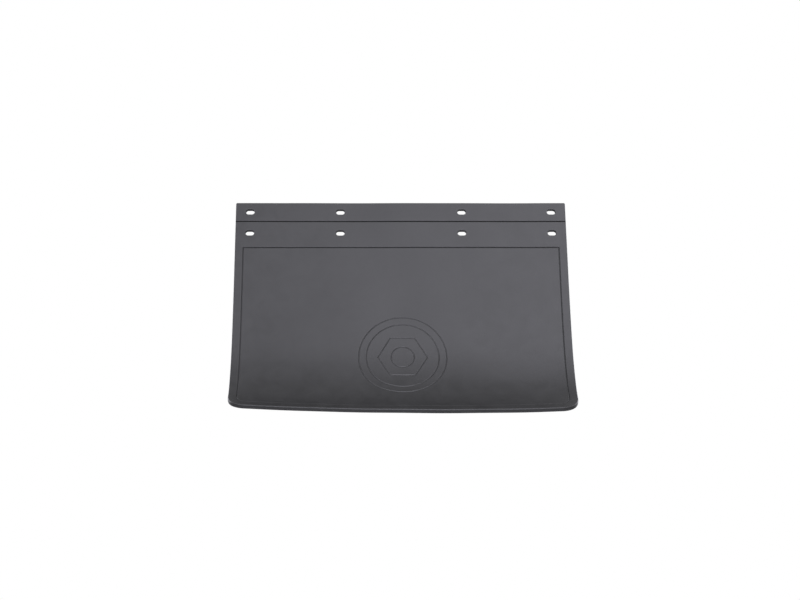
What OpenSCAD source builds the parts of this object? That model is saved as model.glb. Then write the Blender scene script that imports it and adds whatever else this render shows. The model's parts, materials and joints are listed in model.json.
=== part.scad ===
// Mud flap: one moulded rubber sheet, bolted up by its top strip and creased below it.
// The sheet hangs in the XZ plane with its front face towards -Y and curls forward at the foot.
// It is divided across its width wherever it bends, and each strip is a rigid piece.

/* [Sheet] */
// Width of the flap
flap_w = 400; // [300:1:600]
// Length from the top edge to the lowest point of the bottom edge, measured along the sheet
flap_l = 292; // [230:1:450]
// Thickness of the rubber
sheet_t = 5; // [3:0.5:7]
// Rise of the curved bottom edge from its middle to its ends
bottom_bow = 10; // [2:1:20]
// Radius of the two bottom corners
bottom_corner_r = 22; // [8:1:30]
// Radius of the two top corners
top_corner_r = 1.5; // [0.5:0.5:6]

/* [Mounting slots] */
// Length of a slot from end to end
slot_l = 10.5; // [9:0.5:20]
// Width of a slot
slot_w = 6.5; // [5:0.5:9]
// Distance from the top edge to the middle of the upper row of slots
upper_row_drop = 12; // [8:0.5:15]
// Distance from the crease to the middle of the lower row of slots
lower_row_drop = 15; // [8:0.5:24]
// Distance from a side edge to the middle of the outer slots
outer_slot_edge = 17.5; // [12:0.5:30]
// Distance between the middles of the two inner slots
inner_slot_spacing = 147; // [60:1:200]

/* [Crease] */
// Distance from the top edge to the crease
crease_drop = 24.5; // [20:0.5:40]
// Thickness of the web left at the back of the crease
web_t = 0.9; // [0.6:0.1:1.2]
// Slope of each flank of the crease groove
crease_flank = 22.5; // [15:0.5:40]
// Running clearance round the knuckle of the crease
crease_clearance = 0.1; // [0.05:0.01:0.15]

/* [Frame groove] */
// Distance from the lower row of slots to the top line of the frame
frame_drop = 19; // [12:0.5:30]
// Distance from the side and bottom edges to the frame line
frame_inset = 10; // [6:0.5:20]
// Radius of the frame's two bottom corners
frame_corner_r = 12; // [2:0.5:16]
// Width of every groove in the front face
groove_w = 1.5; // [0.8:0.1:2.5]
// Depth of every groove in the front face
groove_depth = 0.8; // [0.3:0.1:1.5]

/* [Emblem] */
// Height of the emblem's middle above the lowest point of the bottom edge
emblem_rise = 92; // [70:0.5:110]
// Diameter of the outer ring line
outer_ring_d = 103; // [80:1:120]
// Diameter of the inner ring line
inner_ring_d = 85; // [60:1:100]
// Distance across the corners of the hexagon line
hexagon_d = 58; // [40:1:70]
// Diameter of the middle circle line
middle_ring_d = 27; // [12:1:36]

/* [Flexing panel] */
// Distance from the frame's top line to the first flex line
first_flex_drop = 11.5; // [6:0.5:20]
// Relative lengths of the seven flexing strips, from the top down
strip_weights = [12, 10, 8.5, 7, 6, 5.5, 6.5]; // [5:0.5:20]
// Bend at rest at each of the seven flex lines, in degrees towards the front
rest_bends = [0, 2, 3, 8, 7, 12, 16]; // [0:1:20]
// Running clearance between the rounded edges of neighbouring strips
flex_clearance = 0.2; // [0.15:0.01:0.3]

/* [Hidden] */
$fn = 96;
eps = 0.01;
rubber = [0.36, 0.36, 0.37];

// Heights in the flat sheet, counted from the middle of the upper row of slots
top_z = upper_row_drop;
crease_z = top_z - crease_drop;
lower_row_z = crease_z - lower_row_drop;
frame_z = lower_row_z - frame_drop;
first_flex_z = frame_z - first_flex_drop;
bottom_z = top_z - flap_l;
emblem_z = bottom_z + emblem_rise;

// The bottom edge is an arc through both ends of the bow
bottom_arc_r = (flap_w * flap_w / 4 + bottom_bow * bottom_bow) / (2 * bottom_bow);
bottom_arc_z = bottom_z + bottom_arc_r;
arc_fn = 256;

// Hinge lines: the crease is hinge 1, and the flex lines follow it
strip_count = len(strip_weights);
function weight_above(k) = k == 0 ? 0 : weight_above(k - 1) + strip_weights[k - 1];
weight_sum = weight_above(strip_count);
function flex_z(k) = first_flex_z - (first_flex_z - bottom_z) * weight_above(k) / weight_sum;
function hinge_z(i) = i == 1 ? crease_z : flex_z(i - 2);
function hinge_y(i) = i == 1 ? -web_t / 2 : -sheet_t / 2;
function hinge_bend(i) = i == 1 ? 0 : rest_bends[i - 2];

// Places the children, drawn in the flat sheet, where the strip below hinge i lies at rest
module bent_at(i) {
  if (i == 0)
    children();
  else
    bent_at(i - 1)
      translate([0, hinge_y(i), hinge_z(i)])
        rotate([-hinge_bend(i), 0, 0])
          translate([0, -hinge_y(i), -hinge_z(i)])
            children();
}

// Outline of the lower end, set in from the edge, open upwards to the height upto
module foot_outline(inset, corner_r, upto) {
  half_w = flap_w / 2 - inset;
  arc_r = bottom_arc_r - inset;
  centre_x = half_w - corner_r;
  centre_z = bottom_arc_z - sqrt(pow(arc_r - corner_r, 2) - pow(centre_x, 2));
  // Unit direction from the middle of the arc through the middle of the corner
  out_x = centre_x / (arc_r - corner_r);
  out_z = (centre_z - bottom_arc_z) / (arc_r - corner_r);
  reach = 2 * (corner_r + bottom_bow);
  intersection() {
    translate([0, bottom_arc_z])
      circle(r = arc_r, $fn = arc_fn);
    polygon([
      [-half_w, upto],
      [-half_w, centre_z],
      [-centre_x, centre_z],
      [-centre_x - reach * out_x, centre_z + reach * out_z],
      [centre_x + reach * out_x, centre_z + reach * out_z],
      [centre_x, centre_z],
      [half_w, centre_z],
      [half_w, upto]
    ]);
  }
  for (side = [-1, 1])
    translate([side * centre_x, centre_z])
      circle(r = corner_r);
}

module top_outline() {
  translate([-flap_w / 2, bottom_z - sheet_t])
    square([flap_w, flap_l + sheet_t - top_corner_r]);
  translate([top_corner_r - flap_w / 2, bottom_z - sheet_t])
    square([flap_w - 2 * top_corner_r, flap_l + sheet_t]);
  for (side = [-1, 1])
    translate([side * (flap_w / 2 - top_corner_r), top_z - top_corner_r])
      circle(r = top_corner_r);
}

module sheet_outline() {
  intersection() {
    foot_outline(0, bottom_corner_r, top_z + sheet_t);
    top_outline();
  }
}

module slot() {
  square([slot_l - slot_w, slot_w], center = true);
  for (side = [-1, 1])
    translate([side * (slot_l - slot_w) / 2, 0])
      circle(d = slot_w);
}

module slot_row(row_z) {
  for (side = [-1, 1])
    for (x = [flap_w / 2 - outer_slot_edge, inner_slot_spacing / 2])
      translate([side * x, row_z])
        slot();
}

module frame_line() {
  difference() {
    foot_outline(frame_inset - groove_w / 2, frame_corner_r + groove_w / 2, frame_z + groove_w / 2);
    foot_outline(frame_inset + groove_w / 2, frame_corner_r - groove_w / 2, frame_z - groove_w / 2);
  }
}

module ring_line(d, sides = $fn) {
  difference() {
    circle(d = d + groove_w, $fn = sides);
    circle(d = d - groove_w, $fn = sides);
  }
}

module emblem_lines() {
  translate([0, emblem_z]) {
    ring_line(outer_ring_d);
    ring_line(inner_ring_d);
    ring_line(hexagon_d, 6);
    ring_line(middle_ring_d);
  }
}

// Makes a flat pattern, drawn in X and Z, into a block between two depths in front of the back face
module through_sheet(from, to) {
  rotate([90, 0, 0])
    translate([0, 0, from])
      linear_extrude(height = to - from)
        children();
}

// Draws a section of the sheet, in Y and Z, along its whole width
module across_sheet() {
  rotate([90, 0, 90])
    linear_extrude(height = flap_w + 2 * sheet_t, center = true)
      children();
}

// A strip of the flat sheet with the section given as its child
module strip_of_sheet() {
  intersection() {
    across_sheet()
      children();
    through_sheet(-eps, sheet_t + eps)
      sheet_outline();
  }
}

// Section between two heights, in Y and Z
module plain_section(low_z, high_z) {
  translate([-sheet_t, low_z])
    square([sheet_t, high_z - low_z]);
}

// The crease groove, widened from the middle of the web to the front face
module crease_section() {
  half_w = (sheet_t - web_t / 2 + eps) * tan(crease_flank);
  polygon([
    [-web_t / 2, crease_z],
    [-sheet_t - eps, crease_z + half_w],
    [-sheet_t - eps, crease_z - half_w]
  ]);
}

// A rounded edge that turns on hinge i, larger by grow
module knuckle_section(i, grow) {
  translate([hinge_y(i), hinge_z(i)])
    circle(r = (i == 1 ? web_t : sheet_t) / 2 + grow);
}

module mounting_strip() {
  color(rubber)
    difference() {
      strip_of_sheet()
        difference() {
          plain_section(crease_z, top_z + eps);
          crease_section();
          knuckle_section(1, crease_clearance);
        }
      through_sheet(-1, sheet_t + 1)
        slot_row(0);
    }
}

module slot_band() {
  color(rubber)
    difference() {
      strip_of_sheet()
        difference() {
          union() {
            difference() {
              plain_section(flex_z(0), crease_z);
              crease_section();
            }
            knuckle_section(1, 0);
          }
          knuckle_section(2, flex_clearance);
        }
      through_sheet(-1, sheet_t + 1)
        slot_row(lower_row_z);
      through_sheet(sheet_t - groove_depth, sheet_t + 1)
        frame_line();
    }
}

// Panel k hangs from hinge k + 1, and the last one ends at the bottom edge
module panel(k) {
  last = k == strip_count;
  color(rubber)
    bent_at(k + 1)
      difference() {
        strip_of_sheet()
          difference() {
            union() {
              plain_section(last ? bottom_z - 1 : flex_z(k), flex_z(k - 1));
              knuckle_section(k + 1, 0);
            }
            if (!last)
              knuckle_section(k + 2, flex_clearance);
          }
        through_sheet(sheet_t - groove_depth, sheet_t + 1) {
          frame_line();
          emblem_lines();
        }
      }
}

mounting_strip();
slot_band();
panel(1);  // panel_1
panel(2);  // panel_2
panel(3);  // panel_3
panel(4);  // panel_4
panel(5);  // panel_5
panel(6);  // panel_6
panel(7);  // panel_7
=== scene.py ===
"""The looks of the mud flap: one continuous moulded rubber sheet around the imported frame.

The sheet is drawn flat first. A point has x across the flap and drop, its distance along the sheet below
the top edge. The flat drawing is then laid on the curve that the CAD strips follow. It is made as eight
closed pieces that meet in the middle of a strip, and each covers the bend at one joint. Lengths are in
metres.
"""

import json
import math
from itertools import pairwise

import bpy
import numpy as np
from mathutils import Matrix, Vector
from mathutils.geometry import delaunay_2d_cdt

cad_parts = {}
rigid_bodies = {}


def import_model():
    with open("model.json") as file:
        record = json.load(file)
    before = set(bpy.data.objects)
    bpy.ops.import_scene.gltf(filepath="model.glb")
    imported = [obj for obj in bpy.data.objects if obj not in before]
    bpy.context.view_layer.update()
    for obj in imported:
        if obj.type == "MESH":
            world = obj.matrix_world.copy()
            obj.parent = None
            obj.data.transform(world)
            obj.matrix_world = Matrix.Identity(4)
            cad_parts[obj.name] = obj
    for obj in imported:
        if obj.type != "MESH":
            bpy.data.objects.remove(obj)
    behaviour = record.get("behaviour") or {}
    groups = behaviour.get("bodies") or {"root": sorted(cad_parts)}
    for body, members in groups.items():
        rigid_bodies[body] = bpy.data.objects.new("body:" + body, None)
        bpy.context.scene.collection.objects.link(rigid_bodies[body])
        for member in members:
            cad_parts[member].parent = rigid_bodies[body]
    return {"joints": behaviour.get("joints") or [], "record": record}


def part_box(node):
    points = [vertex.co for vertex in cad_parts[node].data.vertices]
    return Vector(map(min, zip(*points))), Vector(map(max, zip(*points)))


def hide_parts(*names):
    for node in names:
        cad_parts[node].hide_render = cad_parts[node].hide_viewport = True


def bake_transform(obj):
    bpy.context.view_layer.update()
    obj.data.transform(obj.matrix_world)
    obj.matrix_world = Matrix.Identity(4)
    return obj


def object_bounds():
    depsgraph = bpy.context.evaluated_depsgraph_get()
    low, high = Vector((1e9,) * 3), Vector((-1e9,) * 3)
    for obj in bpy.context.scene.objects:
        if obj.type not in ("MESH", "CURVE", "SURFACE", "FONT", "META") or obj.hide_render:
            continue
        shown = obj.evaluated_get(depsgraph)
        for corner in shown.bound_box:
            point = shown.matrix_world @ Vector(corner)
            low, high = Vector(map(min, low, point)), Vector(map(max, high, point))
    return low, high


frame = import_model()
cad_low, cad_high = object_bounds()

MM = 0.001
# Points closer than this are the same point
SAME_PLACE = 1e-7

# ---------------------------------------------------------------- sizes taken from the frame
mounts = {m["name"]: m for m in frame["record"]["mounts"]}
joints = frame["joints"]
strip_low, strip_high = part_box("mounting_strip")

HALF_WIDTH = cad_high.x
THICKNESS = strip_high.y - strip_low.y
TOP_Z = strip_high.z
CREASE_DROP = TOP_Z - joints[0]["pos_m"][2]
FLEX_LINES = [np.array(j["pos_m"][1:]) for j in joints[1:]]
SLOT_HALF_LENGTH = mounts["upper_outer_slots"]["dims"]["slot_length_mm"] * MM / 2
SLOT_RADIUS = mounts["upper_outer_slots"]["dims"]["hole_r_mm"] * MM
SLOTS = [
    (side * mounts[name]["dims"]["spacing_x_mm"] * MM / 2, TOP_Z - mounts[name]["pos_m"][2])
    for name in ("upper_outer_slots", "upper_inner_slots", "lower_outer_slots", "lower_inner_slots")
    for side in (-1, 1)
]

# ---------------------------------------------------------------- sizes of the moulding
SHEET_LENGTH = 292 * MM
BOTTOM_BOW = 10 * MM
BOTTOM_CORNER_R = 22 * MM
TOP_CORNER_R = 1.5 * MM
FRONT_EDGE_R = 1.0 * MM
BACK_EDGE_R = 0.3 * MM
SLOT_FRONT_R = 0.4 * MM
CREASE_HALF_WIDTH = 0.7 * MM
CREASE_DEPTH = 2.4 * MM
FRAME_INSET = 10 * MM
FRAME_TOP_DROP = 58.5 * MM
FRAME_CORNER_R = 12 * MM
GROOVE_HALF_WIDTH = 0.85 * MM
GROOVE_DEPTH = 0.8 * MM
FRAME_TOP_DEPTH = 1.3 * MM
EMBLEM_DEPTH = 0.5 * MM
EMBLEM_DROP = SHEET_LENGTH - 92 * MM
OUTER_RING_R = 51.5 * MM
INNER_RING_R = 42.5 * MM
HEXAGON_R = 29 * MM
MIDDLE_RING_R = 13.5 * MM

# The bottom edge is an arc about a point far above it
ARC_R = (HALF_WIDTH ** 2 + BOTTOM_BOW ** 2) / (2 * BOTTOM_BOW)
ARC_DROP = SHEET_LENGTH - ARC_R

# The curling foot squeezes the frame line, between two drops, to a share of its depth
SQUEEZE_START = 258 * MM
SQUEEZE_END = 272 * MM
SQUEEZED_SHARE = 0.3

# The walls have one level under the rounded front edge and five that shape the parting ridge.
# Where a groove runs out at the edge, the levels lie below it, at least a small gap apart.
FIRST_LEVEL = 1.3 * MM
PARTING_DEPTH = 3.9 * MM
PARTING_PROUD = 0.1 * MM
WALL_LEVELS = [FIRST_LEVEL] + [PARTING_DEPTH + step * MM for step in (-0.35, -0.16, 0, 0.16, 0.35)]
LEVEL_GAP = 0.02 * MM

# The sheet is a little uneven, and its foot has taken a set
WAVE_HEIGHT = 0.22 * MM
FOOT_START = 180 * MM
FOOT_LIFT = 1.5 * MM
FOOT_TWIST = 2.8 * MM

# ---------------------------------------------------------------- spacing of the mesh
ROW_STEP = 3.0 * MM
COLUMN_STEP = 8.0 * MM
LINE_STEP = 2.5 * MM
ROUND_STEP = 1.1 * MM
CURVE_POINTS = 41
SLOT_END_POINTS = 14
TOP_CORNER_POINTS = 6
# Lines of points beside an edge, as shares of its rounding, and across a groove, as shares of half its width
EDGE_STEPS = (0.0, 0.08, 0.3, 0.65, 1.0, 1.6)
GROOVE_STEPS = (-1.4, -1.0, -0.72, -0.45, -0.2, 0.0, 0.2, 0.45, 0.72, 1.0, 1.4)
# Extra rows above and below the crease, where the sheet starts and stops bending
CREASE_ROWS = [step * MM for step in (-4, -3, -2.3, 2.3, 3, 4)]

# ---------------------------------------------------------------- finish of the rubber
DARK_RUBBER = (0.0175, 0.0175, 0.018, 1)
PALE_RUBBER = (0.0255, 0.0255, 0.026, 1)
# Paler rubber where edges are worn, which is also a painted highlight along the outer edge, the slot edges
# and the groove lips
WORN_AND_HIGHLIT_RUBBER = (0.034, 0.034, 0.035, 1)
# Painted shade: this darker rubber, mixed in by a share of the groove value, stands in for the shadow in the
# grooves, the crease and the rounded edges and on the walls
PAINTED_SHADE_RUBBER = (0.014, 0.014, 0.014, 1)
PAINTED_SHADE_SHARE = 0.35
FACE_ROUGHNESS = 0.44
EDGE_ROUGHNESS = 0.4
SLOT_ROUGHNESS = 0.92
ROUGHNESS_SWING = 0.03
RUBBER_IOR = 1.5
RUBBER_SPECULAR = 0.42
BUMP_STRENGTH = 0.35
BUMP_HEIGHT = 0.12 * MM
GRAIN_SHARE = 0.3

# How far edge rubbing and its painted highlight reach from an edge, and how strong they are, where the outer
# edge has 1
EDGE_WEAR_AND_HIGHLIGHT_REACH = 1.6 * FRONT_EDGE_R
SLOT_WEAR_AND_HIGHLIGHT_REACH = 2.5 * SLOT_FRONT_R
LIP_WEAR_AND_HIGHLIGHT_REACH = 0.5 * GROOVE_HALF_WIDTH
SLOT_WEAR_AND_HIGHLIGHT = 0.7
LIP_WEAR_AND_HIGHLIGHT = 0.35
RIDGE_WEAR_AND_HIGHLIGHT = 0.5
WALL_WEAR_AND_HIGHLIGHT = 0.1
PATCHY_WEAR_AND_HIGHLIGHT = (0.25, 0.9)

# Noise scales, in patches per metre, the stretch of a noise's values that is used, and the bloom it adds
CLOUD_SCALE = 9
SMUDGE_SCALE = 45
DENT_SCALE = 220
GRAIN_SCALE = 1500
SPECK_SCALE = 2600
WIDE = (0.3, 0.7)
NARROW = (0.35, 0.65)
CLOUD_BLOOM = 0.45
SMUDGE_BLOOM = 0.45
SPECK_BLOOM = 0.15

# ---------------------------------------------------------------- values for the camera, floor and light
CAMERA_AT = Vector((-0.0442, -1.6954, -0.7346))
CAMERA_LIFT = math.radians(20.16)
CAMERA_TURN = math.radians(1.42)
CAMERA_ROLL = math.radians(-0.56)
LENS = 68.25
SENSOR = 36.0
FLOOR_Z = -1.6
FLOOR_REACH = 12.0
# The floor looks paler than the light that it throws back on the flap, and so does the studio
FLOOR_LIT = (0.36, 0.36, 0.36, 1)
FLOOR_SEEN = (0.8, 0.8, 0.8, 1)
FLOOR_GLOW = 0.34
STUDIO_LIT = (1, 0.995, 0.985, 1)
STUDIO_LIT_STRENGTH = 0.57
WHITE = (1, 1, 1, 1)
SOFTBOX_SIZE = 1.6
SOFTBOX_DISTANCE = 2.6
SOFTBOX_COLOUR = (1.0, 0.995, 1.11)
# Degrees to the right of the flap's front, degrees above level, and watts
SOFTBOXES = {
    "key": (17, 28, 30.5),
    "low_fill": (0, -16, 52),
    "left_fill": (-38, 5, 23),
    "back_right": (118, 22, 45),
    "back_left": (-118, 22, 45),
}


# ---------------------------------------------------------------- the curve that the sheet follows
def flat_drops():
    """Drop of each flex line in the flat sheet."""
    drops = [TOP_Z - FLEX_LINES[0][1]]
    for above, below in pairwise(FLEX_LINES):
        drops.append(drops[-1] + float(np.linalg.norm(below - above)))
    return drops


def foot_end():
    """Where the sheet's middle surface ends, in y and z, worked out from the last strip's box."""
    hinge = FLEX_LINES[-1]
    low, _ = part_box(joints[-1]["child"])
    length = SHEET_LENGTH - flat_drops()[-1]
    half = THICKNESS / 2
    # The box's corner is length * sine + half * cosine in front of the hinge,
    # and length * cosine + half * sine below it
    matrix = np.array([[length, half], [half, length]])
    sine, cosine = np.linalg.solve(matrix, hinge - np.array([low.y, low.z]))
    return hinge - length * np.array([sine, cosine]) / math.hypot(sine, cosine)


def bend(start, corner, end):
    """Points and slopes, in y and z, of the parabola from start to end with this corner."""
    t = np.linspace(0, 1, CURVE_POINTS)[:, None]
    points = (1 - t) ** 2 * start + 2 * t * (1 - t) * corner + t ** 2 * end
    slopes = 2 * (1 - t) * (corner - start) + 2 * t * (end - corner)
    return points, slopes


def sheet_curve():
    """Drop, y, z and lean of the sheet's middle surface, and the drops where its bends start and end.

    Each flex line is the corner of a parabola that starts and ends halfway along the strips beside it,
    so the curve touches every CAD strip at its middle.
    """
    drops = flat_drops()
    foot = foot_end()
    ends = [(above + below) / 2 for above, below in pairwise([CREASE_DROP] + drops + [SHEET_LENGTH])]
    middles = [np.array([-THICKNESS / 2, TOP_Z - ends[0]])]
    middles += [(above + below) / 2 for above, below in pairwise(FLEX_LINES + [foot])]
    samples = [(0.0, -THICKNESS / 2, TOP_Z, 0.0)]
    for k, corner in enumerate(FLEX_LINES):
        points, slopes = bend(middles[k], corner, middles[k + 1])
        lengths = np.concatenate([[0], np.cumsum(np.linalg.norm(np.diff(points, axis=0), axis=1))])
        along = ends[k] + (ends[k + 1] - ends[k]) * lengths / lengths[-1]
        lean = np.arctan2(-slopes[:, 0], -slopes[:, 1])
        samples += list(zip(along, points[:, 0], points[:, 1], lean))
    samples.append((SHEET_LENGTH, foot[0], foot[1], samples[-1][3]))
    kept = [samples[0]] + [b for a, b in pairwise(samples) if b[0] - a[0] > SAME_PLACE]
    return np.array(kept).T, ends


CURVE, BEND_ENDS = sheet_curve()
# The sheet is divided between its bends, so the last bend's end is no seam
SEAMS = BEND_ENDS[:-1]


def wave(x, drop):
    """Slow unevenness of a rubber sheet that has lain about: waves 75 to 230 mm long."""
    return WAVE_HEIGHT * (
        np.sin(x * 31 + 0.6) * np.sin(drop * 27 + 0.9)
        + 0.5 * np.sin(x * 67 - drop * 23 + 2.1)
        + 0.35 * np.sin(drop * 74 + x * 41 + 0.4)
    )


def foot_set(x, drop):
    """The foot has taken a set: it curls a little more at its left corner than at its right."""
    down = np.clip((drop - FOOT_START) / (SHEET_LENGTH - FOOT_START), 0, None) ** 2
    return (FOOT_LIFT - FOOT_TWIST * x / HALF_WIDTH) * down


def lay_on_curve(x, drop, depth):
    """Places flat points, at a depth below the front face, on the curved sheet."""
    y = np.interp(drop, CURVE[0], CURVE[1])
    z = np.interp(drop, CURVE[0], CURVE[2])
    lean = np.interp(drop, CURVE[0], CURVE[3])
    out = THICKNESS / 2 - depth + wave(x, drop) + foot_set(x, drop)
    return np.stack([x, y - out * np.cos(lean), z + out * np.sin(lean)], axis=1)


# ---------------------------------------------------------------- flat shapes
def foot_corner(inset, corner_r):
    """Middle of a bottom corner's arc, and the angle from straight down where it meets the bottom arc."""
    centre_x = HALF_WIDTH - inset - corner_r
    reach = ARC_R - inset - corner_r
    rise = math.sqrt(reach ** 2 - centre_x ** 2)
    return centre_x, ARC_DROP + rise, math.atan2(centre_x, rise)


def spaced(start, stop, step):
    """Values from start to stop, both included, no further apart than step."""
    return np.linspace(start, stop, max(2, math.ceil(abs(stop - start) / step) + 1))


def without_repeats(points):
    """Drops points that repeat the one before."""
    kept = points[:1]
    for p in points[1:]:
        if math.dist(p, kept[-1]) > SAME_PLACE:
            kept.append(p)
    return kept


def outline_loop(inset, corner_r, top_drop, top_r):
    """Points round the sheet's outline set in by inset, in one direction and without a repeated end."""
    half = HALF_WIDTH - inset
    centre_x, centre_drop, meet = foot_corner(inset, corner_r)
    arc_r = ARC_R - inset
    side = [(half, d) for d in spaced(top_drop + top_r, centre_drop, LINE_STEP)]
    corner = [
        (centre_x + corner_r * math.sin(a), centre_drop + corner_r * math.cos(a))
        for a in spaced(math.pi / 2, meet, ROUND_STEP / max(corner_r, ROUND_STEP))
    ]
    bottom = [
        (arc_r * math.sin(a), ARC_DROP + arc_r * math.cos(a))
        for a in spaced(meet, 0, LINE_STEP / arc_r)
    ]
    top_corner = []
    if top_r > 0:
        top_corner = [
            (half - top_r + top_r * math.sin(a), top_drop + top_r - top_r * math.cos(a))
            for a in np.linspace(0, math.pi / 2, TOP_CORNER_POINTS)
        ]
    top = [(x, top_drop) for x in spaced(0, half - top_r, LINE_STEP)]
    right = without_repeats(top + top_corner + side + corner + bottom)
    left = [(-x, d) for x, d in reversed(right) if x > SAME_PLACE]
    return right + left


def slot_loop(x, drop, grow):
    """Points round a slot, grown outwards."""
    radius = SLOT_RADIUS + grow
    straight = SLOT_HALF_LENGTH - SLOT_RADIUS
    return [
        (x + side * (straight + radius * math.cos(a)), drop + side * radius * math.sin(a))
        for side in (1, -1)
        for a in np.linspace(-math.pi / 2, math.pi / 2, SLOT_END_POINTS)
    ]


def circle_loop(radius):
    """Points round a circle of the emblem."""
    count = round(2 * math.pi * radius / ROUND_STEP)
    angles = np.linspace(0, 2 * math.pi, count, endpoint=False)
    return [(radius * math.cos(a), EMBLEM_DROP + radius * math.sin(a)) for a in angles]


def hexagon_loop(radius):
    """Hexagon with this distance from its middle to a corner, with points along its sides."""
    angles = [k * math.pi / 3 for k in range(6)]
    corners = [(radius * math.cos(a), EMBLEM_DROP + radius * math.sin(a)) for a in angles]
    shares = np.linspace(0, 1, round(radius / LINE_STEP), endpoint=False)
    return [
        (a[0] + (b[0] - a[0]) * t, a[1] + (b[1] - a[1]) * t)
        for a, b in pairwise(corners + corners[:1])
        for t in shares
    ]


# ---------------------------------------------------------------- distances in the flat sheet
def from_outline(x, drop, inset, corner_r, top_drop, top_r=0.0):
    """Signed distance from the outline set in by inset, negative inside it."""
    half = HALF_WIDTH - inset
    centre_x, centre_drop, meet = foot_corner(inset, corner_r)
    ax = np.abs(x)
    arc = np.hypot(ax, drop - ARC_DROP) - (ARC_R - inset)
    plain = np.maximum(np.maximum(ax - half, arc), top_drop - drop)
    dx, dd = ax - centre_x, drop - centre_drop
    in_corner = (dd > 0) & (dx > dd * math.tan(meet))
    plain = np.where(in_corner, np.hypot(dx, dd) - corner_r, plain)
    if top_r > 0:
        tx, td = ax - (half - top_r), top_drop + top_r - drop
        plain = np.where((tx > 0) & (td > 0), np.hypot(tx, td) - top_r, plain)
    return plain


def from_sheet_edge(x, drop):
    """Signed distance from the sheet's outer edge, negative inside it."""
    return from_outline(x, drop, 0, BOTTOM_CORNER_R, 0, TOP_CORNER_R)


def from_slots(x, drop):
    """Distance from the nearest slot's edge, negative inside a slot."""
    straight = SLOT_HALF_LENGTH - SLOT_RADIUS
    return np.min([
        np.hypot(np.maximum(np.abs(x - slot_x) - straight, 0), drop - slot_drop) - SLOT_RADIUS
        for slot_x, slot_drop in SLOTS
    ], axis=0)


def from_frame_line(x, drop):
    """Distance from the frame line."""
    return np.abs(from_outline(x, drop, FRAME_INSET, FRAME_CORNER_R, FRAME_TOP_DROP))


def from_emblem(x, drop):
    """Distance from the nearest line of the emblem: two rings, a hexagon and a middle circle."""
    dd = drop - EMBLEM_DROP
    radius = np.hypot(x, dd)
    normals = [math.pi / 6 + k * math.pi / 3 for k in range(3)]
    hexagon = np.max([np.abs(x * math.cos(a) + dd * math.sin(a)) for a in normals], axis=0)
    lines = [np.abs(hexagon - HEXAGON_R * math.cos(math.pi / 6))]
    lines += [np.abs(radius - r) for r in (OUTER_RING_R, INNER_RING_R, MIDDLE_RING_R)]
    return np.min(lines, axis=0)


# ---------------------------------------------------------------- depths below the front face
def bell(distance, half_width):
    """A groove's profile: 1 in its middle, falling smoothly to 0 at its lip."""
    return np.where(distance < half_width, 0.5 + 0.5 * np.cos(math.pi * distance / half_width), 0.0)


def frame_line_depth(drop):
    """Depth of the frame line: deeper at its top, and squeezed nearly shut where the foot curls."""
    fade = 4 * GROOVE_HALF_WIDTH
    top = np.clip(1 - (drop - FRAME_TOP_DROP) / fade, 0, 1)
    down = np.clip((drop - SQUEEZE_START) / (SQUEEZE_END - SQUEEZE_START), 0, 1)
    squeezed = (1 - SQUEEZED_SHARE) * down * down * (3 - 2 * down)
    return (GROOVE_DEPTH + (FRAME_TOP_DEPTH - GROOVE_DEPTH) * top) * (1 - squeezed)


def rounding(inside, radius):
    """Depth of a rounded edge at a distance inside it."""
    short = np.clip(radius - inside, 0, radius)
    return radius - np.sqrt(radius ** 2 - short ** 2)


def front_depth(x, drop):
    """Depth of the front face below its plain height: grooves, crease and rounded edges."""
    return np.max([
        frame_line_depth(drop) * bell(from_frame_line(x, drop), GROOVE_HALF_WIDTH),
        EMBLEM_DEPTH * bell(from_emblem(x, drop), GROOVE_HALF_WIDTH),
        CREASE_DEPTH * bell(np.abs(drop - CREASE_DROP), CREASE_HALF_WIDTH),
        rounding(-from_sheet_edge(x, drop), FRONT_EDGE_R),
        rounding(from_slots(x, drop), SLOT_FRONT_R),
    ], axis=0)


def back_depth(x, drop):
    """Depth of the back face, with its edges slightly broken."""
    inside = np.minimum(-from_sheet_edge(x, drop), from_slots(x, drop))
    return THICKNESS - rounding(inside, BACK_EDGE_R)


def rim_wear_and_highlight(x, drop):
    """How much an edge or lip is worn and carries a painted highlight: 1 on the outer edge, less on slots
    and groove lips.
    """
    outer = np.clip(1 + from_sheet_edge(x, drop) / EDGE_WEAR_AND_HIGHLIGHT_REACH, 0, 1)
    slots = SLOT_WEAR_AND_HIGHLIGHT * np.clip(1 - from_slots(x, drop) / SLOT_WEAR_AND_HIGHLIGHT_REACH, 0, 1)
    nearest = np.minimum(from_frame_line(x, drop), from_emblem(x, drop))
    lips = LIP_WEAR_AND_HIGHLIGHT * np.clip(1 - np.abs(nearest - GROOVE_HALF_WIDTH) / LIP_WEAR_AND_HIGHLIGHT_REACH, 0, 1)
    return np.max([outer, slots, lips], axis=0)


# ---------------------------------------------------------------- the flat mesh
def flat_loops():
    """Every closed line that the mesh has to follow."""
    loops = []
    for step in EDGE_STEPS:
        inset = step * FRONT_EDGE_R
        top_r = max(TOP_CORNER_R - inset, 0)
        loops.append(outline_loop(inset, BOTTOM_CORNER_R - inset, inset, top_r))
        loops += [slot_loop(x, d, step * SLOT_FRONT_R) for x, d in SLOTS]
    for step in GROOVE_STEPS:
        off = step * GROOVE_HALF_WIDTH
        loops.append(outline_loop(FRAME_INSET + off, FRAME_CORNER_R - off, FRAME_TOP_DROP + off, 0))
        loops += [circle_loop(r + off) for r in (OUTER_RING_R, INNER_RING_R, MIDDLE_RING_R)]
        loops.append(hexagon_loop(HEXAGON_R + off / math.cos(math.pi / 6)))
    return loops


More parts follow.
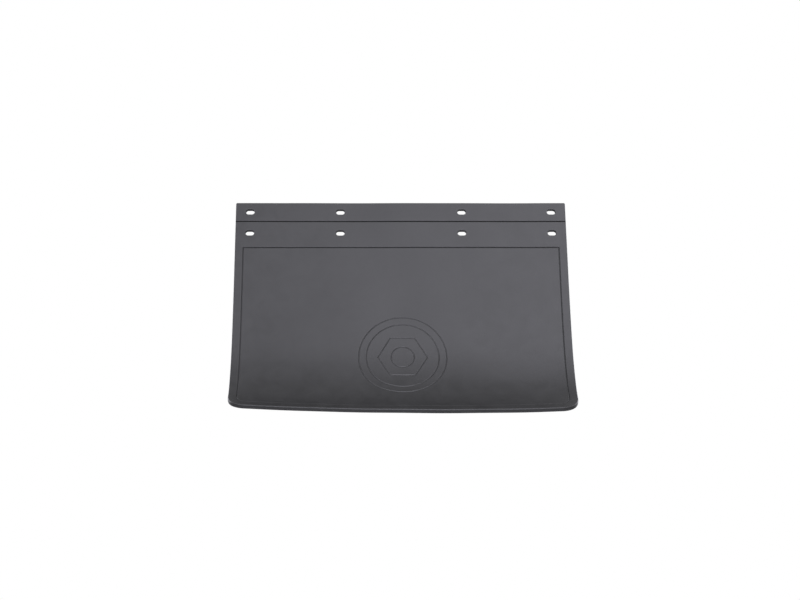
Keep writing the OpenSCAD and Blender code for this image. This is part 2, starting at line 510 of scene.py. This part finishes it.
def row_drops():
    """Rows across the sheet: every seam, a fine group in the crease, and even steps between them."""
    crease = [CREASE_DROP + step * CREASE_HALF_WIDTH for step in GROOVE_STEPS]
    crease += [CREASE_DROP + step for step in CREASE_ROWS]
    fixed = sorted(SEAMS + crease)
    rows = list(fixed)
    for above, below in pairwise([0.0] + fixed + [SHEET_LENGTH]):
        rows += list(spaced(above, below, ROW_STEP)[1:-1])
    return sorted(rows)


def flat_mesh():
    """Points and triangles of the flat sheet, cut to its outline and open at its slots."""
    points, edges = [], []
    for loop in flat_loops():
        start = len(points)
        points += loop
        edges += [(start + k, start + (k + 1) % len(loop)) for k in range(len(loop))]
    past_side = HALF_WIDTH + 5 * MM
    columns = spaced(COLUMN_STEP - HALF_WIDTH, HALF_WIDTH - COLUMN_STEP, COLUMN_STEP)
    for drop in row_drops():
        edges.append((len(points), len(points) + 1))
        points += [(-past_side, drop), (past_side, drop)]
        points += [(x, drop) for x in columns]
    # The triangulation works in millimetres, and merges points closer than a ten-thousandth of one
    made = delaunay_2d_cdt([Vector(p) / MM for p in points], edges, [], 0, 1e-4)
    flat = np.array([tuple(v) for v in made[0]]) * MM
    triangles = np.array(made[2])
    x, drop = flat[triangles].mean(axis=1).T
    inside = (from_sheet_edge(x, drop) < 0) & (from_slots(x, drop) > 0)
    return flat, triangles[inside]


# ---------------------------------------------------------------- closed pieces
def outward(x, drop):
    """Direction, in the flat sheet, out of its edge or into its slot."""
    step = 0.01 * MM

    def distance(px, pd):
        return np.maximum(from_sheet_edge(px, pd), -from_slots(px, pd))

    along_x = distance(x + step, drop) - distance(x - step, drop)
    along_drop = distance(x, drop + step) - distance(x, drop - step)
    length = np.hypot(along_x, along_drop)
    return along_x / length, along_drop / length


def open_edges(triangles):
    """Edges that only one triangle has, in that triangle's direction."""
    edges = {edge: None for a, b, c in triangles for edge in ((a, b), (b, c), (c, a))}
    return [(a, b) for a, b in edges if (b, a) not in edges]


def face_layers(x, drop):
    """Front and back faces: the points, the worn edges with their painted highlight, the painted shade where
    the front is sunk, and the finish of each.
    """
    front = front_depth(x, drop)
    back = back_depth(x, drop)
    none = np.zeros(len(x))
    finish = np.full(len(x), FACE_ROUGHNESS)
    # The groove value marks painted shade: on the front it grows with how deep the face is sunk, up to the
    # depth of a groove
    return [
        (lay_on_curve(x, drop, front), rim_wear_and_highlight(x, drop), np.minimum(front / GROOVE_DEPTH, 1), finish),
        (lay_on_curve(x, drop, back), none, none, finish),
    ]


def wall_layers(x, drop):
    """The same for each level of the walls. Only the sheet's outer edge has the parting ridge."""
    front = front_depth(x, drop)
    out_x, out_drop = outward(x, drop)
    outer = from_slots(x, drop) > SLOT_RADIUS
    finish = np.where(outer, EDGE_ROUGHNESS, SLOT_ROUGHNESS)
    layers = []
    for number, level in enumerate(WALL_LEVELS, 1):
        on_ridge = level == PARTING_DEPTH
        proud = PARTING_PROUD * outer * on_ridge
        depth = np.maximum(level, front + number * LEVEL_GAP)
        points = lay_on_curve(x + out_x * proud, drop + out_drop * proud, depth)
        wear = np.full(len(x), RIDGE_WEAR_AND_HIGHLIGHT if on_ridge else WALL_WEAR_AND_HIGHLIGHT)
        # Every wall level takes the full painted shade
        layers.append((points, wear, np.ones(len(x)), finish))
    return layers


def wall_ladders(rim, count):
    """For each point of the rim, with count points in a face: its points down the wall, front to back."""
    return {
        v: [v] + [2 * count + level * len(rim) + k for level in range(len(WALL_LEVELS))] + [v + count]
        for k, v in enumerate(rim)
    }


def wall_faces(walls, ladders):
    """Four-sided faces between neighbouring ladders."""
    return [
        (a0, b0, b1, a1)
        for a, b in walls
        for (a0, a1), (b0, b1) in zip(pairwise(ladders[a]), pairwise(ladders[b]))
    ]


def cap_face(row, ladders, count):
    """The flat end at a seam: along the front, down one wall, along the back and up the other wall."""
    down = ladders[row[-1]][1:-1]
    up = ladders[row[0]][-2:0:-1]
    return tuple(row + down + [v + count for v in reversed(row)] + up)


def set_shading(mesh, caps):
    """Shades everything smooth but the caps, which come last and have sharp rims."""
    smooth = np.ones(len(mesh.polygons), bool)
    smooth[-len(caps):] = False
    mesh.polygons.foreach_set("use_smooth", smooth)
    rims = {frozenset(edge) for cap in caps for edge in pairwise(cap + cap[:1])}
    sharp = np.array([frozenset(e.vertices) in rims for e in mesh.edges], bool)
    mesh.attributes.new("sharp_edge", "BOOLEAN", "EDGE").data.foreach_set("value", sharp)


def build_piece(name, flat, triangles, seams):
    """A closed piece: front and back faces, walls at the edges, and a cap at each seam."""
    used, index = np.unique(triangles, return_inverse=True)
    local = [tuple(tri) for tri in index.reshape(-1, 3).tolist()]
    x, drop = flat[used].T
    count = len(used)
    rows = [np.flatnonzero(np.abs(drop - seam) < SAME_PLACE).tolist() for seam in seams]
    walls = [e for e in open_edges(local) if not any(set(e) <= set(row) for row in rows)]
    rim = sorted({v for edge in walls for v in edge})
    ladders = wall_ladders(rim, count)

    faces = [tri[::-1] for tri in local] + [tuple(v + count for v in tri) for tri in local]
    faces += wall_faces(walls, ladders)
    caps = []
    for seam, row in zip(seams, rows):
        cap = cap_face(sorted(row, key=lambda v: x[v]), ladders, count)
        caps.append(cap if seam > drop.mean() else cap[::-1])

    layers = face_layers(x, drop) + wall_layers(x[rim], drop[rim])
    points, *values = [np.concatenate(column) for column in zip(*layers)]
    mesh = bpy.data.meshes.new(name)
    mesh.from_pydata(points.tolist(), [], faces + caps)
    mesh.validate()
    set_shading(mesh, caps)
    # The first attribute marks worn edges with their painted highlight; the groove attribute marks painted
    # shade
    for label, column in zip(("wear", "groove", "finish"), values):
        attribute = mesh.attributes.new(label, "FLOAT", "POINT")
        attribute.data.foreach_set("value", column.astype(np.float32))
    return linked(name, mesh)


def linked(name, data):
    """A new object in the scene with this data."""
    made = bpy.data.objects.new(name, data)
    bpy.context.scene.collection.objects.link(made)
    return made


# ---------------------------------------------------------------- materials
def node_of(tree, kind, inputs, **settings):
    """A new node with its settings, and with its inputs given a value or linked to an output."""
    node = tree.nodes.new(kind)
    for name, value in settings.items():
        setattr(node, name, value)
    for socket, value in inputs.items():
        if isinstance(value, bpy.types.NodeSocket):
            tree.links.new(value, node.inputs[socket])
        else:
            node.inputs[socket].default_value = value
    return node


def noise(tree, where, scale, detail, distortion=0.0):
    inputs = {"Vector": where, "Scale": scale, "Detail": detail, "Distortion": distortion}
    return node_of(tree, "ShaderNodeTexNoise", inputs).outputs["Fac"]


def spread(tree, value, used, low, high):
    """Maps the used range of a value to the range from low to high."""
    inputs = {0: value, 1: used[0], 2: used[1], 3: low, 4: high}
    return node_of(tree, "ShaderNodeMapRange", inputs).outputs[0]


def maths(tree, operation, a, b):
    return node_of(tree, "ShaderNodeMath", {0: a, 1: b}, operation=operation).outputs[0]


def mixed(tree, factor, a, b):
    """Colour a where factor is 0, and b where it is 1."""
    return node_of(tree, "ShaderNodeMix", {0: factor, 6: a, 7: b}, data_type="RGBA").outputs[2]


def attribute_of(tree, name):
    return node_of(tree, "ShaderNodeAttribute", {}, attribute_name=name).outputs["Fac"]


def rubber_colour(tree, clouds, smudges, specks):
    """Black rubber with a patchy grey bloom, paler where it is worn and under a painted highlight, and
    darker under painted shade in its grooves and on its walls.
    """
    bloom = maths(
        tree, "ADD",
        spread(tree, clouds, WIDE, 0, CLOUD_BLOOM),
        spread(tree, smudges, NARROW, 0, SMUDGE_BLOOM),
    )
    bloom = maths(tree, "ADD", bloom, spread(tree, specks, WIDE, 0, SPECK_BLOOM))
    colour = mixed(tree, bloom, DARK_RUBBER, PALE_RUBBER)
    # Worn edges and lips, patchy along their length: partly real rubbing, partly a painted highlight
    rubbed_and_highlit = maths(tree, "MULTIPLY", attribute_of(tree, "wear"), spread(tree, smudges, WIDE, *PATCHY_WEAR_AND_HIGHLIGHT))
    colour = mixed(tree, rubbed_and_highlit, colour, WORN_AND_HIGHLIT_RUBBER)
    # Painted shade in the grooves, the crease, the rounded edges and on the walls
    painted_shade = maths(tree, "MULTIPLY", attribute_of(tree, "groove"), PAINTED_SHADE_SHARE)
    return mixed(tree, painted_shade, colour, PAINTED_SHADE_RUBBER)


def rubber_roughness(tree, smudges, specks):
    """The mesh's own finish, varied by smudges and specks."""
    smudged = spread(tree, smudges, NARROW, -ROUGHNESS_SWING, ROUGHNESS_SWING)
    specked = spread(tree, specks, WIDE, -ROUGHNESS_SWING, ROUGHNESS_SWING)
    return maths(tree, "ADD", maths(tree, "ADD", attribute_of(tree, "finish"), smudged), specked)


def rubber_relief(tree, where):
    """Fine grain over shallow dents."""
    grain = maths(tree, "MULTIPLY", noise(tree, where, GRAIN_SCALE, detail=3), GRAIN_SHARE)
    height = maths(tree, "ADD", grain, noise(tree, where, DENT_SCALE, detail=3))
    inputs = {"Strength": BUMP_STRENGTH, "Distance": BUMP_HEIGHT, "Height": height}
    return node_of(tree, "ShaderNodeBump", inputs).outputs["Normal"]


def rubber_material():
    """Moulded black rubber, greyed by bloom: fine grain, faint smudges from rubbing, paler worn edges that
    carry a painted highlight, and painted shade in grooves and on walls.
    """
    material = bpy.data.materials.new("rubber")
    material.use_nodes = True
    tree = material.node_tree
    shader = tree.nodes["Principled BSDF"]
    where = tree.nodes.new("ShaderNodeTexCoord").outputs["Object"]
    clouds = noise(tree, where, CLOUD_SCALE, detail=5, distortion=0.6)
    smudges = noise(tree, where, SMUDGE_SCALE, detail=6, distortion=1.2)
    specks = noise(tree, where, SPECK_SCALE, detail=2)
    tree.links.new(rubber_colour(tree, clouds, smudges, specks), shader.inputs["Base Color"])
    tree.links.new(rubber_roughness(tree, smudges, specks), shader.inputs["Roughness"])
    tree.links.new(rubber_relief(tree, where), shader.inputs["Normal"])
    shader.inputs["IOR"].default_value = RUBBER_IOR
    shader.inputs["Specular IOR Level"].default_value = RUBBER_SPECULAR
    return material


def by_ray(tree, lit, seen, output_kind):
    """Sends one shader to the rays that light the flap and another to what is seen directly."""
    is_seen = tree.nodes.new("ShaderNodeLightPath").outputs["Is Camera Ray"]
    mix = node_of(tree, "ShaderNodeMixShader", {0: is_seen, 1: lit, 2: seen})
    node_of(tree, output_kind, {0: mix.outputs[0]})


def floor_material():
    """Pale matt paint that shows brighter than the light it throws back on the flap."""
    pale = bpy.data.materials.new("floor_paint")
    pale.use_nodes = True
    tree = pale.node_tree
    tree.nodes.clear()
    dull = node_of(tree, "ShaderNodeBsdfDiffuse", {"Color": FLOOR_LIT})
    matt = node_of(tree, "ShaderNodeBsdfDiffuse", {"Color": FLOOR_SEEN})
    glow = node_of(tree, "ShaderNodeEmission", {"Color": WHITE, "Strength": FLOOR_GLOW})
    shown = node_of(tree, "ShaderNodeAddShader", {0: matt.outputs[0], 1: glow.outputs[0]})
    by_ray(tree, dull.outputs[0], shown.outputs[0], "ShaderNodeOutputMaterial")
    return pale


def make_sheet():
    """One piece for each joint, from seam to seam. Each stands for the node below its joint, which has its
    body's name, and the first stands for the node above its joint too.
    """
    flat, triangles = flat_mesh()
    middle = flat[triangles].mean(axis=1)[:, 1]
    rubber = rubber_material()
    limits = [0.0] + SEAMS + [SHEET_LENGTH]
    for k, joint in enumerate(joints):
        top, bottom = limits[k], limits[k + 1]
        seams = [drop for drop in (top, bottom) if drop in SEAMS]
        chosen = triangles[(middle > top) & (middle < bottom)]
        piece = build_piece(f"rubber_sheet_{k + 1}", flat, chosen, seams)
        piece.data.materials.append(rubber)
        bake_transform(piece)
        nodes = [joint["child"]] + ([joint["parent"]] if k == 0 else [])
        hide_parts(*nodes)


# ---------------------------------------------------------------- camera, floor and light
def make_camera():
    """Looks up at the flap from below and a little from its left."""
    data = bpy.data.cameras.new("camera")
    data.lens = LENS
    data.sensor_width = SENSOR
    camera = linked("camera", data)
    forward = Vector((
        math.sin(CAMERA_TURN) * math.cos(CAMERA_LIFT),
        math.cos(CAMERA_TURN) * math.cos(CAMERA_LIFT),
        math.sin(CAMERA_LIFT),
    ))
    level = forward.cross(Vector((0, 0, 1))).normalized()
    upright = level.cross(forward)
    right = math.cos(CAMERA_ROLL) * level + math.sin(CAMERA_ROLL) * upright
    up = right.cross(forward)
    turned = Matrix((right, up, -forward)).transposed().to_4x4()
    camera.matrix_world = Matrix.Translation(CAMERA_AT) @ turned
    bpy.context.scene.camera = camera


def make_floor():
    """A large pale square, far below the hanging flap."""
    mesh = bpy.data.meshes.new("floor")
    signs = ((-1, -1), (1, -1), (1, 1), (-1, 1))
    corners = [(sx * FLOOR_REACH, sy * FLOOR_REACH, FLOOR_Z) for sx, sy in signs]
    mesh.from_pydata(corners, [], [(0, 1, 2, 3)])
    mesh.materials.append(floor_material())
    linked("floor", mesh)


def make_studio():
    """White surroundings, seen as plain white, that give less light than they show."""
    world = bpy.data.worlds.new("studio")
    bpy.context.scene.world = world
    world.use_nodes = True
    tree = world.node_tree
    tree.nodes.clear()
    seen = node_of(tree, "ShaderNodeBackground", {"Color": WHITE, "Strength": 1.0})
    lit = node_of(tree, "ShaderNodeBackground", {"Color": STUDIO_LIT, "Strength": STUDIO_LIT_STRENGTH})
    by_ray(tree, lit.outputs[0], seen.outputs[0], "ShaderNodeOutputWorld")
    bpy.context.scene.view_settings.view_transform = "Standard"


def make_softbox(name, turn, lift, power):
    """A square light that faces the flap from an angle to the right of its front and one above it."""
    data = bpy.data.lights.new(name, "AREA")
    data.energy = power
    data.size = SOFTBOX_SIZE
    data.color = SOFTBOX_COLOUR
    light = linked(name, data)
    turn, lift = math.radians(turn), math.radians(lift)
    towards = Vector((math.sin(turn) * math.cos(lift), -math.cos(turn) * math.cos(lift), math.sin(lift)))
    light.location = (cad_low + cad_high) / 2 + towards * SOFTBOX_DISTANCE
    light.rotation_mode = "QUATERNION"
    light.rotation_quaternion = towards.to_track_quat("Z", "Y")
    light.visible_camera = False


def make_lights():
    for name, (turn, lift, power) in SOFTBOXES.items():
        make_softbox(name, turn, lift, power)


make_camera()
make_floor()
make_studio()
make_lights()
make_sheet()
